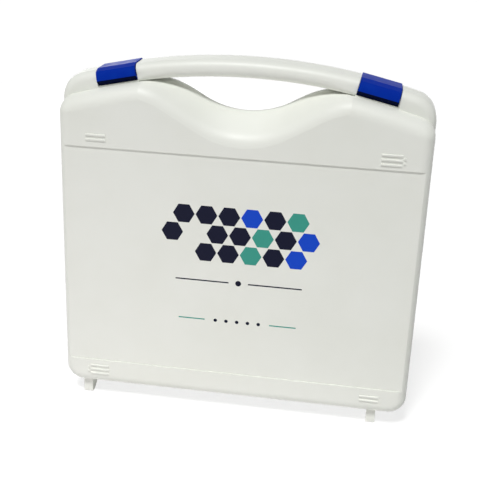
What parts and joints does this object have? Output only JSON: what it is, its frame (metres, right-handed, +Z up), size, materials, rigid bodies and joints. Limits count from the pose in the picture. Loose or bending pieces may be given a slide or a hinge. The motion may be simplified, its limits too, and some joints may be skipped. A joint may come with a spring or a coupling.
{
  "type": "carrying case for a hand-held bench instrument",
  "caption": "Slim hard plastic carrying case with an arched grip handle, hinged lid, two snap latches, moulded feet and foam inserts with an instrument pocket.",
  "frame": {"origin": "under the middle of the closed case, on the surface that its feet stand on", "axes": "+X to the right across the case, +Y from the lid's front towards the base, +Z up towards the handle; the parting plane is at Y = 0 and the lid's outside faces -Y"},
  "size_m": [0.2924, 0.0576, 0.2977],
  "materials": {
    "case_plastic": "injection moulded, satin",
    "latch_plastic": "injection moulded, smooth",
    "pin_steel": "drawn wire",
    "foam": "open-cell foam"
  },
  "bodies": {
    "base": {"base_shell": "case_plastic", "left_hinge_pin": "pin_steel", "right_hinge_pin": "pin_steel", "left_latch_pin": "pin_steel", "right_latch_pin": "pin_steel", "pocket_foam": "foam", "floor_foam": "foam"},
    "lid": {"lid_shell": "case_plastic", "lid_foam": "foam"},
    "left_latch": {"left_latch": "latch_plastic"},
    "right_latch": {"right_latch": "latch_plastic"}
  },
  "joints": [
    {"name": "lid_hinge", "type": "hinge", "parent": "base", "child": "lid", "pos_m": [0, 0, 0.0058], "axis": [1, 0, 0], "range_deg": [0, 180]},
    {"name": "left_latch_hinge", "type": "hinge", "parent": "base", "child": "left_latch", "pos_m": [-0.10193, 0.01, 0.28164], "axis": [-0.9767, 0, -0.2146], "range_deg": [0, 100]},
    {"name": "right_latch_hinge", "type": "hinge", "parent": "base", "child": "right_latch", "pos_m": [0.10193, 0.01, 0.28164], "axis": [-0.9767, 0, 0.2146], "range_deg": [0, 100]}
  ]
}
